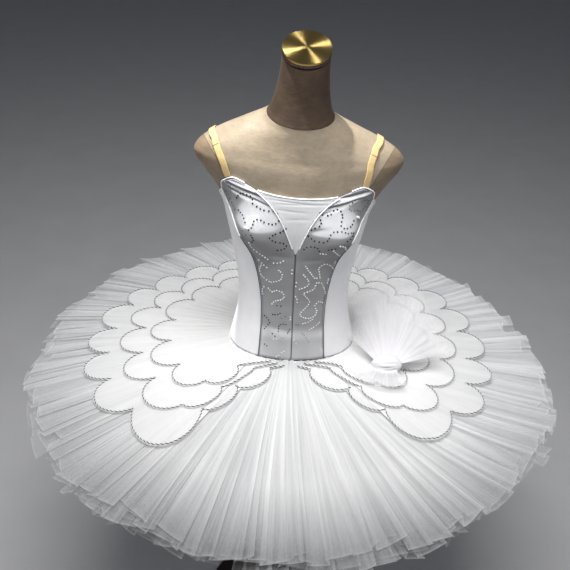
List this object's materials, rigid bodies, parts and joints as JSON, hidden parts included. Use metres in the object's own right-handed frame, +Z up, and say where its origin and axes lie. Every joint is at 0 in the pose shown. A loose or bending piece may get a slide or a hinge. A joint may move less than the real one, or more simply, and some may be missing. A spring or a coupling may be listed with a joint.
{
  "type": "ballet tutu on dress form",
  "caption": "Pancake tutu with pleated net skirt, scalloped overlays, satin bodice and hip bow, resting on a limbless dress form with a pole and round foot.",
  "frame": {"origin": "centre of the round foot's underside, on the floor", "axes": "+Z up along the pole; the front of the bodice faces -Y; +X is the wearer's left, the side of the hip bow"},
  "size_m": [1.086, 1.0836, 1.4546],
  "materials": {
    "white_net": "stiff matt net",
    "overlay_net": "stiff matt net, closer and whiter",
    "bow_net": "soft gathered net",
    "silver_satin": "silver grey stretch satin with small studs",
    "plastron_satin": "plain pale satin",
    "white_satin": "white stretch satin",
    "white_binding": "rolled satin binding",
    "dark_braid": "twisted dark silver cord",
    "gold_elastic": "satin elastic",
    "form_satin": "champagne satin cover",
    "arm_cover": "matt beige cover",
    "brushed_gold": "spun, brushed in rings",
    "dark_rim": "dark brown lacquer",
    "dark_metal": "dark bronze paint"
  },
  "bodies": {
    "root": {"back_placket": "white_satin", "bodice_back_left": "white_satin", "bodice_back_right": "white_satin", "bodice_front_left": "silver_satin", "bodice_front_right": "silver_satin", "bodice_plastron": "plastron_satin", "bodice_side_back_left": "white_satin", "bodice_side_back_right": "white_satin", "bodice_side_front_left": "white_satin", "bodice_side_front_right": "white_satin", "brief_back": "white_satin", "brief_front": "white_satin", "cup_piping_left": "white_binding", "cup_piping_right": "white_binding", "form_arm_cover_left": "arm_cover", "form_arm_cover_right": "arm_cover", "form_flange": "dark_metal", "form_neck": "form_satin", "form_torso": "form_satin", "hip_bow_fan": "bow_net", "hip_bow_knot": "bow_net", "hip_bow_tail": "bow_net", "neck_binding_left": "white_binding", "neck_binding_right": "white_binding", "neck_cap": "brushed_gold", "neck_cap_rim": "dark_rim", "net_1_top": "white_net", "net_2": "white_net", "net_3": "white_net", "net_4": "white_net", "net_5": "white_net", "net_6": "white_net", "overlay_cord_inner_left": "dark_braid", "overlay_cord_inner_right": "dark_braid", "overlay_cord_middle_left": "dark_braid", "overlay_cord_middle_right": "dark_braid", "overlay_cord_outer_left": "dark_braid", "overlay_cord_outer_right": "dark_braid", "overlay_inner_left": "overlay_net", "overlay_inner_right": "overlay_net", "overlay_middle_left": "overlay_net", "overlay_middle_right": "overlay_net", "overlay_outer_left": "overlay_net", "overlay_outer_right": "overlay_net", "plastron_binding": "white_binding", "seam_braid_left": "dark_braid", "seam_braid_right": "dark_braid", "stand_collar": "dark_metal", "stand_foot": "dark_metal", "stand_pole": "dark_metal", "strap_left": "gold_elastic", "strap_right": "gold_elastic"}
  },
  "joints": []
}
